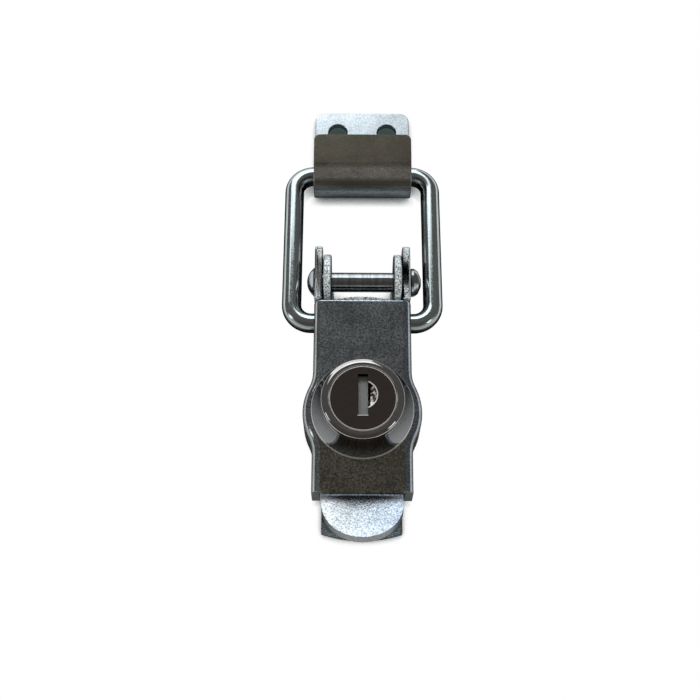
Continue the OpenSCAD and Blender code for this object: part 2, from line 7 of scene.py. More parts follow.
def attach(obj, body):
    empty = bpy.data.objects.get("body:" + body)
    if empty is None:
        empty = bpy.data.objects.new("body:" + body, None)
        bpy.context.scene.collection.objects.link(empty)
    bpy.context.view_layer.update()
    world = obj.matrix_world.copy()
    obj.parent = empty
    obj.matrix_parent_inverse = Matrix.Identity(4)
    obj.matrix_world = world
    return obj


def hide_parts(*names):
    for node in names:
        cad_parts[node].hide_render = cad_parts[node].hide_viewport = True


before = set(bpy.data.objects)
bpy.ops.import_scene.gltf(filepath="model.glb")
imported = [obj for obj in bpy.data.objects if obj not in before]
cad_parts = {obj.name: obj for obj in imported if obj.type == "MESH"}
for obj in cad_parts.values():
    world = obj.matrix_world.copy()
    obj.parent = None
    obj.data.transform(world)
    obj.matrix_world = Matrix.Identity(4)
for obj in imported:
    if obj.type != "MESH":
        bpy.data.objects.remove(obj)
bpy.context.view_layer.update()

mm = 0.001
pivotY = 41.4 * mm  # the rivet's axis, from the centre of the base's screw holes
print("frame loaded")


# Small tools for working as by hand

handTools = {
    "weld": 0.002 * mm,  # points closer than this become one
    "flat": 0.6,  # degrees: faces that turn by less are joined
    "sharp": 38,  # degrees: edges that turn by more are broken
    "edgeSteps": 3,
    "sheetShade": 32,  # degrees: edges that turn by less are shaded smooth
    "turnedShade": 25,
    "normalWeight": 60,
}


def deselectAll():
    if bpy.context.object and bpy.context.object.mode != "OBJECT":
        bpy.ops.object.mode_set(mode="OBJECT")
    bpy.ops.object.select_all(action="DESELECT")


def takeUp(piece):
    deselectAll()
    piece.select_set(True)
    bpy.context.view_layer.objects.active = piece
    return piece


def applyModifier(piece, kind, **values):
    takeUp(piece)
    modifier = piece.modifiers.new(kind.lower(), kind)
    for key, value in values.items():
        setattr(modifier, key, value)
    bpy.ops.object.modifier_apply(modifier=modifier.name)


def cleanMesh(piece, angle):
    takeUp(piece)
    bpy.ops.object.mode_set(mode="EDIT")
    bpy.ops.mesh.select_all(action="SELECT")
    bpy.ops.mesh.remove_doubles(threshold=handTools["weld"])
    bpy.ops.mesh.normals_make_consistent(inside=False)
    bpy.ops.object.mode_set(mode="OBJECT")
    bpy.ops.object.shade_smooth_by_angle(angle=radians(angle))


def smoothed(piece, angle):
    # Smooth shading in which the broad faces keep their own normals beside the small rounded edges
    takeUp(piece)
    bpy.ops.object.shade_smooth_by_angle(angle=radians(angle))
    applyModifier(piece, "WEIGHTED_NORMAL", keep_sharp=True, weight=handTools["normalWeight"])


def breakEdges(piece, width, clamp, fromY=-1, toY=1):
    # Rounds the sharp edges that lie between two places along Y
    takeUp(piece)
    bpy.ops.object.mode_set(mode="EDIT")
    bpy.ops.mesh.select_all(action="DESELECT")
    bpy.ops.mesh.select_mode(type="EDGE")
    bpy.ops.mesh.edges_select_sharp(sharpness=radians(handTools["sharp"]))
    bpy.ops.object.mode_set(mode="OBJECT")
    mesh = piece.data
    weights = mesh.attributes.new("bevel_weight_edge", "FLOAT", "EDGE")
    for line in mesh.edges:
        ends = [mesh.vertices[v].co.y for v in line.vertices]
        weights.data[line.index].value = float(line.select and fromY < min(ends) and max(ends) < toY)
    applyModifier(piece, "BEVEL", width=width, segments=handTools["edgeSteps"], limit_method="WEIGHT",
                  use_clamp_overlap=clamp)
    mesh = piece.data
    mesh.attributes.remove(mesh.attributes["bevel_weight_edge"])


def copyOfNode(nodeName, pieceName, edge, soft=None):
    # The CAD solid's own form, welded, with its pressed or turned edges broken by a small bevel
    piece = bpy.data.objects.new(pieceName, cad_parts[nodeName].data.copy())
    bpy.context.scene.collection.objects.link(piece)
    takeUp(piece)
    bpy.ops.mesh.customdata_custom_splitnormals_clear()
    bpy.ops.object.mode_set(mode="EDIT")
    bpy.ops.mesh.select_all(action="SELECT")
    bpy.ops.mesh.remove_doubles(threshold=handTools["weld"])
    bpy.ops.mesh.dissolve_limited(angle_limit=radians(handTools["flat"]))
    bpy.ops.object.mode_set(mode="OBJECT")
    if soft:
        place, softEdge = soft
        breakEdges(piece, softEdge, False, fromY=place)
        breakEdges(piece, edge, True, toY=place)
    else:
        breakEdges(piece, edge, True)
    smoothed(piece, handTools["sheetShade"])
    return piece


def turned(pieceName, profile, steps):
    # Draws a closed profile, radius and height, by extruding one point, and spins it once round Z
    deselectAll()
    bpy.ops.mesh.primitive_plane_add(size=mm, location=(0, 0, 0))
    piece = bpy.context.object
    piece.name = pieceName
    piece.data.name = pieceName
    bpy.ops.object.mode_set(mode="EDIT")
    bpy.ops.mesh.select_mode(type="VERT")
    bpy.ops.mesh.select_all(action="SELECT")
    bpy.ops.mesh.merge(type="CENTER")
    atR, atZ = profile[0]
    bpy.ops.transform.translate(value=(atR, 0, atZ))
    for r, z in profile[1:] + profile[:1]:
        bpy.ops.mesh.extrude_region_move(TRANSFORM_OT_translate={"value": (r - atR, 0, z - atZ)})
        atR, atZ = r, z
    bpy.ops.mesh.select_all(action="SELECT")
    bpy.ops.mesh.spin(steps=steps, angle=2 * pi, center=(0, 0, 0), axis=(0, 0, 1))
    cleanMesh(piece, handTools["turnedShade"])
    return piece


def arc(centreR, centreZ, radius, start, end, steps):
    angles = [radians(start + (end - start) * i / steps) for i in range(steps + 1)]
    return [(centreR + radius * cos(a), centreZ + radius * sin(a)) for a in angles]


def block(low, high):
    deselectAll()
    middle = (Vector(low) + Vector(high)) / 2
    bpy.ops.mesh.primitive_cube_add(size=1, location=middle, scale=Vector(high) - Vector(low))
    bpy.ops.object.transform_apply(location=True, rotation=True, scale=True)
    return bpy.context.object


def cutAway(piece, cutter):
    applyModifier(piece, "BOOLEAN", operation="DIFFERENCE", solver="EXACT", object=cutter)
    bpy.data.objects.remove(cutter)


def cutFlats(piece, across, depth, reach, low, high):
    # Mills a flat on each side of a round body, between two heights
    for side in (-1, 1):
        near = side * across / 2
        far = near + side * depth
        cutAway(piece, block((min(near, far), -reach, low), (max(near, far), reach, high)))


def placeMesh(piece, matrix):
    piece.data.transform(matrix)
    piece.data.update()


def fit(piece, body, slotName, material, *nodes):
    piece.data.materials.clear()
    piece.data.materials.append(material)
    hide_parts(*nodes)
    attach(piece, body)


# Finishes

mixSockets = {"a": 6, "b": 7, "result": 2}  # a mix node's places for two colours and their mixture


class Nodes:
    # A material's node tree, with short ways to add to it
    def __init__(self, name, metallic, roughness):
        self.material = bpy.data.materials.new(name)
        self.material.use_nodes = True
        self.tree = self.material.node_tree
        self.shader = self.tree.nodes["Principled BSDF"]
        self.shader.inputs["Metallic"].default_value = metallic
        self.shader.inputs["Roughness"].default_value = roughness
        self.place = self.add("ShaderNodeTexCoord").outputs["Object"]

    def add(self, kind, **values):
        node = self.tree.nodes.new(kind)
        for key, value in values.items():
            setattr(node, key, value)
        return node

    def join(self, output, socket):
        self.tree.links.new(output, socket)

    def noise(self, scale, detail=2, rough=0.5, stretch=None, coords=None):
        source = coords or self.place
        if stretch:
            mapping = self.add("ShaderNodeMapping")
            mapping.inputs["Scale"].default_value = stretch
            self.join(source, mapping.inputs["Vector"])
            source = mapping.outputs["Vector"]
        node = self.add("ShaderNodeTexNoise")
        node.inputs["Scale"].default_value = scale
        node.inputs["Detail"].default_value = detail
        node.inputs["Roughness"].default_value = rough
        self.join(source, node.inputs["Vector"])
        return node.outputs["Fac"]

    def ramp(self, value, stops):
        node = self.add("ShaderNodeValToRGB")
        elements = node.color_ramp.elements
        while len(elements) < len(stops):
            elements.new(0.5)
        for element, (at, colour) in zip(elements, stops):
            element.position = at
            element.color = (*colour, 1)
        self.join(value, node.inputs["Fac"])
        return node.outputs["Color"]

    def spread(self, value, low, high, fromLow=0.3, fromHigh=0.7):
        # Stretches a value from one range to another, and holds it at both ends
        node = self.add("ShaderNodeMapRange")
        ends = {"From Min": fromLow, "From Max": fromHigh, "To Min": low, "To Max": high}
        for key, number in ends.items():
            node.inputs[key].default_value = number
        self.join(value, node.inputs["Value"])
        return node.outputs["Result"]

    def mix(self, factor, a, b, blend="MIX"):
        node = self.add("ShaderNodeMix", data_type="RGBA", blend_type=blend)
        if hasattr(factor, "links"):
            self.join(factor, node.inputs["Factor"])
        else:
            node.inputs["Factor"].default_value = factor
        for place, value in (("a", a), ("b", b)):
            socket = node.inputs[mixSockets[place]]
            if hasattr(value, "links"):
                self.join(value, socket)
            else:
                socket.default_value = (*value, 1)
        return node.outputs[mixSockets["result"]]

    def maths(self, operation, a, b=None):
        node = self.add("ShaderNodeMath", operation=operation)
        self.join(a, node.inputs[0])
        if hasattr(b, "links"):
            self.join(b, node.inputs[1])
        elif b is not None:
            node.inputs[1].default_value = b
        return node.outputs[0]

    def parts(self, vector, *names):
        node = self.add("ShaderNodeSeparateXYZ")
        self.join(vector, node.inputs[0])
        return [node.outputs[name] for name in names]

    def grey(self, value):
        node = self.add("ShaderNodeCombineColor")
        for socket in node.inputs[:3]:
            self.join(value, socket)
        return node.outputs[0]

    def bump(self, height, distance, strength=1, under=None):
        node = self.add("ShaderNodeBump")
        node.inputs["Strength"].default_value = strength
        node.inputs["Distance"].default_value = distance
        self.join(height, node.inputs["Height"])
        if under:
            self.join(under, node.inputs["Normal"])
        return node.outputs["Normal"]


zincLook = {
    "grain": 2300,  # noise cells per metre, so the plating's speckle is about 0.4 mm
    "grainDepth": 0.008 * mm,
    "grainRange": (0.36, 0.66),
    "peel": 500,
    "peelDepth": 0.003 * mm,
    "patch": 130,
    "patchTone": (0.82, 1.18),
    "rough": (0.14, 0.2),
    "wallRough": 0.14,  # added on faces that stand upright
    "edgeTint": (0.3, 0.32, 0.33),
    # how far a face looks up or down, from 0 on a wall to 1 on a flat face
    "wall": (0.1, 0.5),
    "level": (0.55, 0.97),
    "speckled": (0.6, 0.95),
    "leastSpeckle": 0.3,
    # how far a face looks to the back, and how metallic the front ones are
    "front": (-0.6, -0.9),
    "frontMetal": 0.45,
}


def zincSheet(name, face, side, rim=None, flap=None, tail=None, rougher=0, speckle=(0.45, 1.6)):
    # face: faces that look up or down; side: walls and bends, darker as painted shade; rim: sheared edges of
    # the ears, painted pale as a painted highlight;
    # flap: the hook's fold, which lies high and is painted dark with a band of painted sheen; tail: the tones
    # towards the finger tongue, with painted reflections on the tongue;
    # speckle: the darkest and lightest grain, as shares of the tone
    look = zincLook
    n = Nodes(name, 1, 0.3)
    n.shader.inputs["Specular Tint"].default_value = (*look["edgeTint"], 1)
    grain = n.noise(look["grain"], detail=3, rough=0.65)
    patch = n.noise(look["patch"], detail=3, rough=0.55)
    across, facing, up = n.parts(n.add("ShaderNodeTexCoord").outputs["Normal"], "X", "Y", "Z")
    along, height = n.parts(n.place, "Y", "Z")
    across = n.maths("ABSOLUTE", across)
    up = n.maths("ABSOLUTE", up)
    tone = tailTone(n, tail, face, patch, along, up) if tail else face
    # walls and bends take the darker side tone: painted shade
    colour = n.mix(n.spread(up, 0, 1, *look["level"]), side, tone)
    rough = n.spread(patch, *(level + rougher for level in look["rough"]))
    rough = n.maths("ADD", rough, n.spread(up, look["wallRough"], 0, *look["wall"]))
    if tail:
        more = n.spread(along, 0, tail["rough"], tail["bend"], tail["bend"] - tail["roughFull"])
        rough = n.maths("ADD", rough, more)
    if flap:
        colour, rough, metal = flapFinish(n, flap, colour, rough, facing, height)
    else:
        metal = n.spread(facing, 1, look["frontMetal"], *look["front"])
    if rim:
        ears = n.maths("MULTIPLY", n.spread(along, 0, 1, *rim["run"]), n.spread(across, 1, 0, *rim["sides"]))
        # painted highlight: the rims take the pale rim colour and lose metal
        colour = n.mix(ears, colour, rim["colour"])
        rough = n.maths("ADD", rough, n.maths("MULTIPLY", ears, rim["rough"]))
        metal = n.maths("MINIMUM", metal, n.spread(ears, 1, rim["metal"], 0, 1))
    n.join(metal, n.shader.inputs["Metallic"])
    colour = n.mix(1.0, colour, n.grey(n.spread(patch, *look["patchTone"])), "MULTIPLY")
    amount = n.spread(up, look["leastSpeckle"], 1, *look["speckled"])
    if rim:
        amount = n.maths("MAXIMUM", amount, n.maths("MULTIPLY", ears, rim["speckle"]))
    darkest, lightest = speckle
    spots = n.spread(grain, darkest - 1, lightest - 1, *look["grainRange"])
    spots = n.maths("ADD", n.maths("MULTIPLY", spots, amount), 1)
    colour = n.mix(1.0, colour, n.grey(spots), "MULTIPLY")
    n.join(colour, n.shader.inputs["Base Color"])
    n.join(rough, n.shader.inputs["Roughness"])
    peel = n.bump(n.noise(look["peel"], detail=3), look["peelDepth"])
    if rim:
        grain = n.maths("MULTIPLY", grain, n.spread(ears, 1, rim["grain"], 0, 1))
    if tail:
        grain = n.maths("MULTIPLY", grain, n.spread(height, 1, tail["grain"], *tail["grainHeight"]))
    n.join(n.bump(grain, look["grainDepth"], under=peel), n.shader.inputs["Normal"])
    return n.material


def tailTone(n, tail, face, patch, along, up):
    # The face turns brown towards the tongue; the tongue is painted paler on its left and bluer on its right,
    # a painted reflection of the window, and the tongue's root is painted dark, a painted reflection of the
    # lock
    drift = n.maths("ADD", along, n.maths("MULTIPLY", patch, tail["wander"]))
    tone = n.mix(n.spread(drift, 1, 0, *tail["run"]), face, tail["face"])
    # painted reflection: the tongue's tone runs from pale on its left to bluer on its right
    sideways = n.parts(n.place, "X")[0]
    tongue = n.mix(n.spread(sideways, 0, 1, *tail["shadeRun"]), tail["tongue"], tail["shade"])
    tone = n.mix(n.spread(up, 1, 0, *tail["slope"]), tone, tongue)
    # painted dark reflection of the lock at the tongue's root
    bend = tail["bend"]
    begin = n.spread(along, 0, 1, bend, bend - tail["rootFull"])
    end = n.spread(along, 1, 0, bend - tail["rootFade"], bend - tail["rootEnd"])
    return n.mix(n.maths("MULTIPLY", begin, end), tone, tail["root"])


def flapFinish(n, flap, colour, rough, facing, height):
    # The fold is painted dark, a painted dark reflection, with a flecked band of painted sheen along its
    # front
    high = n.spread(height, 0, 1, *flap["height"])
    colour = n.mix(high, colour, flap["face"])
    rough = n.maths("ADD", rough, n.maths("MULTIPLY", high, flap["rough"]))
    top = n.spread(facing, 0, 1, *flap["bandTop"])
    foot = n.spread(facing, 1, 0, *flap["bandFoot"])
    band = n.maths("MULTIPLY", top, foot)
    band = n.maths("MULTIPLY", band, high)
    fleck = n.spread(n.noise(flap["fleck"], detail=1), flap["leastFleck"], 1, *flap["fleckRange"])
    paintedSheen = n.maths("MULTIPLY", band, fleck)
    colour = n.mix(paintedSheen, colour, flap["paintedSheen"])
    return colour, rough, n.spread(paintedSheen, 1, flap["sheenMetal"], 0, 1)


wireLook = {
    "edgeTint": (0.05, 0.06, 0.06),
    "streak": (60, 2400, 1),  # noise cells per metre, along the wire and round it
    "streakDepth": 0.004 * mm,
    "dark": (0.5, 0.57, 0.58),
    "light": (0.74, 0.81, 0.82),
    "flank": (0.1, 0.105, 0.1),  # the wire's sides, where it doesn't look up or down, painted dark as a painted dark reflection
    "flankRange": (0.42, 0.74),
    "pit": 1500,
    "pitDepth": 0.003 * mm,
    "rough": (0.1, 0.2),
}


def drawnWire():
    # Streaks run along the wire, on its own map: u along it and v round it, in metres
    look = wireLook
    n = Nodes("drawnWire", 1, 0.16)
    n.shader.inputs["Specular Tint"].default_value = (*look["edgeTint"], 1)
    uv = n.add("ShaderNodeUVMap", uv_map="wire").outputs["UV"]
    streak = n.noise(1, detail=3, rough=0.6, stretch=look["streak"], coords=uv)
    pit = n.noise(look["pit"], detail=2)
    up = n.maths("ABSOLUTE", n.parts(n.add("ShaderNodeTexCoord").outputs["Normal"], "Z")[0])
    colour = n.ramp(streak, [(0.3, look["dark"]), (0.7, look["light"])])
    # painted dark reflection on the wire's sides
    colour = n.mix(n.spread(up, 1, 0, *look["flankRange"]), colour, look["flank"])
    n.join(colour, n.shader.inputs["Base Color"])
    n.join(n.spread(pit, *look["rough"]), n.shader.inputs["Roughness"])
    lines = n.bump(streak, look["streakDepth"])
    n.join(n.bump(pit, look["pitDepth"], under=lines), n.shader.inputs["Normal"])
    return n.material


turnedLook = {
    "rings": {"X": (1500, 60, 60), "Z": (60, 60, 1500)},  # noise cells per metre, by the axis turned round
    "fleck": 1700,
    "fleckTone": (0.88, 1.1),
    "fleckDepth": 0.004 * mm,
    "rough": (0.14, 0.22),
}


def turnedZinc(name, dark, light, axis):
    # Fine rings left by forming, round the given axis
    look = turnedLook
    n = Nodes(name, 1, 0.2)
    ring = n.noise(1, detail=2, stretch=look["rings"][axis])
    fleck = n.noise(look["fleck"], detail=3, rough=0.6)
    tone = n.ramp(ring, [(0.35, dark), (0.65, light)])
    colour = n.mix(1.0, tone, n.grey(n.spread(fleck, *look["fleckTone"])), "MULTIPLY")
    n.join(colour, n.shader.inputs["Base Color"])
    n.join(n.spread(fleck, *look["rough"]), n.shader.inputs["Roughness"])
    n.join(n.bump(fleck, look["fleckDepth"]), n.shader.inputs["Normal"])
    return n.material


chromeLook = {
    "edgeTint": (0.4, 0.4, 0.4),
    "wear": 700,
    "wornTone": 0.9,  # share of the tone
    "rough": (0.7, 1.6),  # shares of the given roughness
    # painted highlights: their colour, metal and roughness
    "paintedHighlight": (0.95, 0.94, 0.92),
    "highlightMetal": 0.15,
    "highlightRough": 0.25,
    "wave": 260,
    "waveDepth": 0.004 * mm,
}


def mirrorChrome(name, tone, roughness, rings, skirt=None, recess=None):
    # rings: painted highlight rings; skirt: a darker tone below a height, painted shade standing in for a
    # darker reflection; recess: painted shade, painted reflection and painted glints under the face
    look = chromeLook
    n = Nodes(name, 1, roughness)
    n.shader.inputs["Specular Tint"].default_value = (*look["edgeTint"], 1)
    wear = n.noise(look["wear"], detail=4, rough=0.6)
    colour = n.ramp(wear, [(0.35, tuple(look["wornTone"] * t for t in tone)), (0.65, tone)])
    across, along, height = n.parts(n.place, "X", "Y", "Z")
    marks = []
    # painted shade: below a height the skirt takes a darker tone, standing in for its darker reflection
    if skirt:
        below = n.spread(height, 1, 0, skirt["top"] - skirt["fade"], skirt["top"])
        colour = n.mix(below, colour, skirt["tone"])
    if recess:
        colour, marks = recessFinish(n, recess, colour, across, along, height)
    for ring in rings:
        marks.append(paintedHighlightRing(n, across, along, *ring))
    # painted highlights from the rings and the recess
    paintedHighlight = marks[0]
    for mark in marks[1:]:
        paintedHighlight = n.maths("MAXIMUM", paintedHighlight, mark)
    n.join(n.mix(paintedHighlight, colour, look["paintedHighlight"]), n.shader.inputs["Base Color"])
    n.join(n.spread(paintedHighlight, 1, look["highlightMetal"], 0, 1), n.shader.inputs["Metallic"])
    rough = n.spread(wear, *(roughness * share for share in look["rough"]))
    rough = n.maths("ADD", rough, n.maths("MULTIPLY", paintedHighlight, look["highlightRough"]))
    n.join(rough, n.shader.inputs["Roughness"])
    n.join(n.bump(n.noise(look["wave"], detail=2), look["waveDepth"]), n.shader.inputs["Normal"])
    return n.material


def recessFinish(n, recess, colour, across, along, height):
    # What lies deep is painted dark as far as a place across, painted shade in the keyway, and right of it
    # takes a reddish tone with painted glints, a painted reflection in the half-moon; the keyway's near end
    # has a painted highlight line
    face = recess["face"]
    deep = n.spread(height, 1, 0, face - recess["deep"], face - recess["shallow"])
    glint = n.spread(n.noise(recess["glints"], detail=1), 0, 1, *recess["glintRange"])
    inside = n.mix(glint, recess["tone"], recess["glint"])
    beside = n.spread(across, 1, 0, recess["dark"], recess["dark"] + recess["darkFade"])
    colour = n.mix(deep, colour, n.mix(beside, inside, recess["darkTone"]))
    glints = n.maths("MULTIPLY", n.maths("MULTIPLY", deep, glint), n.spread(beside, 1, 0, 0, 1))
    fromEnd = n.maths("ABSOLUTE", n.maths("SUBTRACT", along, recess["end"]))
    fromMiddle = n.maths("ABSOLUTE", across)
    line = n.maths("MULTIPLY", n.maths("LESS_THAN", fromEnd, recess["endWidth"]),
                   n.maths("LESS_THAN", fromMiddle, recess["endHalf"]))
    return colour, [glints, line]


def paintedHighlightRing(n, across, along, centreY, inner, outer, right, strength):
    # A painted highlight ring round a centre, between two radii, right of a place across
    y = n.maths("SUBTRACT", along, centreY)
    square = n.maths("ADD", n.maths("MULTIPLY", across, across), n.maths("MULTIPLY", y, y))
    radius = n.maths("SQRT", square)
    ring = n.maths("MULTIPLY", n.maths("GREATER_THAN", radius, inner), n.maths("LESS_THAN", radius, outer))
    ring = n.maths("MULTIPLY", ring, n.maths("GREATER_THAN", across, right))
    return n.maths("MULTIPLY", ring, strength)


def stampedMetal(name, dark, light, roughness):
    n = Nodes(name, 1, roughness)
    grain = n.noise(1800, detail=3, rough=0.6)
    n.join(n.ramp(grain, [(0.3, dark), (0.7, light)]), n.shader.inputs["Base Color"])
    n.join(n.spread(grain, roughness * 0.8, roughness * 1.3), n.shader.inputs["Roughness"])
    n.join(n.bump(grain, 0.008 * mm), n.shader.inputs["Normal"])
    return n.material


# The ears' sheared rims are painted pale and nearly non-metallic, a painted highlight, with a coarser speckle
earRim = {
    "run": (34.3 * mm, 35.3 * mm),
    "sides": (0.3, 0.8),  # faces that look further sideways are walls, not rim
    "colour": (0.86, 0.93, 0.95),
    "metal": 0.1,
    "rough": 0.36,
    "speckle": 1.7,
    "grain": 6,
}
leverTail = {
    "face": (0.4, 0.375, 0.31),
    "run": (1 * mm, 14 * mm),
    "wander": 8 * mm,
    # the tongue is painted paler on its left and bluer on its right: a painted reflection of the window
    "tongue": (0.6, 0.64, 0.66),
    "shade": (0.42, 0.5, 0.6),
    "shadeRun": (-7 * mm, 8 * mm),
    "slope": (0.985, 0.998),
    "bend": -14.5 * mm,
    # how far past the bend the tongue's root, painted dark as a painted reflection of the lock, is full,
    # begins to fade and ends
    "rootFull": 0.3 * mm,
    "rootFade": 1.6 * mm,
    "rootEnd": 3 * mm,
    "root": (0.06, 0.07, 0.085),
    "rough": 0.04,
    "roughFull": 0.4 * mm,
    "grain": 2.8,  # how much deeper the speckle is on the tongue
    "grainHeight": (14.6 * mm, 15.2 * mm),
}
keeperFlap = {
    "height": (8 * mm, 10 * mm),
    # the fold's tone is painted dark: a painted dark reflection
    "face": (0.108, 0.096, 0.076),
    "rough": 0.16,
    # how far the fold looks to the back, where the band of painted sheen begins and ends
    "bandTop": (-0.02, -0.3),
    "bandFoot": (-0.6, -0.74),
    "fleck": 4600,
    "leastFleck": 0.4,
    "fleckRange": (0.3, 0.75),
    # the painted sheen's colour, and its metal
    "paintedSheen": (0.55, 0.52, 0.47),
    "sheenMetal": 0.5,
}
# The skirt's darker tone is painted shade, standing in for its darker reflection
housingSkirt = {"top": 21.9 * mm, "fade": 0.5 * mm, "tone": (0.3, 0.31, 0.315)}
# Painted shade in the keyway, a painted reflection with painted glints in the half-moon, and a painted
# highlight line at the keyway's near end
faceRecess = {
    "face": 23.58 * mm,
    "deep": 0.15 * mm,
    "shallow": 0.06 * mm,
    "glints": 1100,
    "glintRange": (0.48, 0.7),
    "tone": (0.16, 0.085, 0.055),
    "glint": (0.9, 0.9, 0.9),
    "dark": 1.75 * mm,
    "darkFade": 0.1 * mm,
    "darkTone": (0.012, 0.011, 0.01),
    "end": 1.5 * mm,
    "endHalf": 1.25 * mm,
    "endWidth": 0.09 * mm,
}
highlightRings = {
    # painted highlight rings, each: centre along, inner radius, outer radius, right of this place across,
    # strength
    "skirt": (5.7 * mm, 12.2 * mm, 13 * mm, -1, 0.6),
    "face": (5.7 * mm, 7.7 * mm, 8.2 * mm, -1, 0.9),
    "moon": (6.6 * mm, 3.28 * mm, 3.55 * mm, 1.3 * mm, 1),
}
finish = {
    "plate": zincSheet("zincPlate", (0.48, 0.53, 0.56), (0.3, 0.32, 0.325), rim=earRim),
    "lever": zincSheet("zincLever", (0.54, 0.59, 0.635), (0.32, 0.33, 0.33), rim=earRim, tail=leverTail,
                       rougher=-0.03),
    "keeper": zincSheet("zincKeeper", (0.6, 0.66, 0.7), (0.5, 0.56, 0.58), flap=keeperFlap,
                        speckle=(0.82, 1.16)),
    "wire": drawnWire(),
    "rivet": turnedZinc("zincRivet", (0.38, 0.4, 0.41), (0.55, 0.58, 0.6), "X"),
    "chrome": mirrorChrome("chromeHousing", (0.54, 0.52, 0.51), 0.05, [highlightRings["skirt"]],
                           skirt=housingSkirt),
    # the plug face's tone, darker and browner than the housing's chrome, is a painted dark reflection
    "face": mirrorChrome("chromeFace", (0.26, 0.22, 0.2), 0.07, [highlightRings["face"], highlightRings["moon"]],
                         recess=faceRecess),
    "shutter": stampedMetal("shutterSteel", (0.55, 0.56, 0.54), (0.75, 0.76, 0.73), 0.55),
    "brass": stampedMetal("waferBrass", (0.5, 0.4, 0.18), (0.7, 0.56, 0.28), 0.35),
    "inner": turnedZinc("innerZinc", (0.4, 0.41, 0.42), (0.62, 0.63, 0.64), "Z"),
}
print("finishes mixed")


# Wire bail: a round section carried along the bars and spun round the corners

bailSizes = {
    "radius": 2.5 * mm,
    "width": 41.1 * mm,
    "pitch": 43.8 * mm,
    "corner": 5.1 * mm,
    "pivotBack": 10.5 * mm,
    "pivotHeight": 7.5 * mm,
    "seatHeight": 4.8 * mm,
    "around": 40,
    "cornerSteps": 14,
    "shade": 60,  # degrees: edges that turn by less are shaded smooth
}


def makeBail():
    s = bailSizes
    half = s["width"] / 2 - s["radius"]
    bar = half - s["corner"]
    run = s["pitch"] - 2 * s["corner"]
    deselectAll()
    bpy.ops.mesh.primitive_circle_add(vertices=s["around"], radius=s["radius"], location=(0, 0, 0),
                                      rotation=(0, pi / 2, 0))
    bpy.ops.object.transform_apply(location=True, rotation=True, scale=True)
    piece = bpy.context.object
    piece.name = "bailWire"
    bpy.ops.object.mode_set(mode="EDIT")
    bpy.ops.mesh.select_all(action="SELECT")
    # from the middle of the near bar: out, round, up, round, across, round, down, round and back
    legs = [(bar, (1, 0)), (run, (0, 1)), (2 * bar, (-1, 0)), (run, (0, -1)), (bar, (1, 0))]
    at = Vector((0, 0))
    for i, (length, way) in enumerate(legs):
        way = Vector(way)
        step = (way.x * length, way.y * length, 0)
        bpy.ops.mesh.extrude_region_move(TRANSFORM_OT_translate={"value": step})
        at += way * length
        if i < len(legs) - 1:
            centre = at + Vector((-way.y, way.x)) * s["corner"]
            bpy.ops.mesh.spin(steps=s["cornerSteps"], angle=pi / 2, center=(centre.x, centre.y, 0),
                              axis=(0, 0, -1))
            at = centre + way * s["corner"]
    bpy.ops.object.mode_set(mode="OBJECT")
    cleanMesh(piece, s["shade"])
    mapWire(piece, half, s["pitch"])
    slope = asin((s["pivotHeight"] - s["seatHeight"]) / s["pitch"])
    placeMesh(piece, Matrix.Translation((0, pivotY - s["pivotBack"], s["pivotHeight"]))
              @ Matrix.Rotation(-slope, 4, "X"))
    return piece


def mapWire(piece, half, pitch):
    # Lays out the wire's map: the way along is taken from the nearer pair of bars
    layer = piece.data.uv_layers.new(name="wire")
    for face in piece.data.polygons:
        middle = face.center
        onSide = abs(abs(middle.x) - half) < abs(min(middle.y, pitch - middle.y))
        for corner in face.loop_indices:
            co = piece.data.vertices[piece.data.loops[corner].vertex_index].co
            if onSide:
                layer.data[corner].uv = (co.y, abs(co.x) - half + 2 * co.z)
            else:
                layer.data[corner].uv = (co.x, co.y + 2 * co.z)


fit(makeBail(), "bail", "zinc_wire", finish["wire"], "bail")
print("bail bent")


# Pivot rivet: round head, shank and peened head, turned about its axis

rivetSizes = {
    "shank": 2.5 * mm,
    "head": 3.7 * mm,
    "headRim": 0.25 * mm,
    "under": 12.2 * mm,
    "underRound": (0.1 * mm, 0.2 * mm),
    "dome": 1.9 * mm,
    "domeSteps": 12,
    "peen": 2.7 * mm,
    # the peened head's outline: shares of the head's radius and of the peen's height
    "peenLine": [(0.9, 0), (0.985, 0.1), (1, 0.3), (0.93, 0.5),
                 (0.8, 0.72), (0.4, 0.94), (0.28, 1), (0, 0.97)],
    "peenFlats": 6,
    "peenFlatDepth": 0.05,  # share of the radius
    "height": 9.5 * mm,
    "around": 72,
}


def makeRivet():
    s = rivetSizes
    sphere = (s["head"] ** 2 + s["dome"] ** 2) / (2 * s["dome"])
    sweep = asin((s["head"] - s["headRim"]) / sphere)
    turns = [sweep * i / s["domeSteps"] for i in range(s["domeSteps"] + 1)]
    dome = [(sphere * sin(turn), -s["under"] - s["dome"] + sphere * (1 - cos(turn))) for turn in turns]
    peen = [(s["head"] * out, s["under"] + s["peen"] * up) for out, up in s["peenLine"]]
    back, down = s["underRound"]
    underHead = [(s["head"], -s["under"] - down), (s["head"] - back, -s["under"])]
    shank = [(s["shank"], -s["under"]), (s["shank"], s["under"])]
    piece = turned("pivotRivet", dome + underHead + shank + peen, s["around"])
    hammerPeen(piece, s)
    placeMesh(piece, Matrix.Translation((0, pivotY, s["height"])) @ Matrix.Rotation(pi / 2, 4, "Y"))
    return piece


def hammerPeen(piece, s):
    # The peened head isn't quite round: six shallow flats from the riveting tool
    for vertex in piece.data.vertices:
        height = vertex.co.z - s["under"]
        if height > 0.05 * mm:
            angle = Vector((vertex.co.x, vertex.co.y)).angle_signed(Vector((1, 0)), 0)
            flat = 0.5 + 0.5 * cos(s["peenFlats"] * angle)
            pull = 1 - s["peenFlatDepth"] * flat * min(1, height / s["peen"] * 2)
            vertex.co.x *= pull
            vertex.co.y *= pull


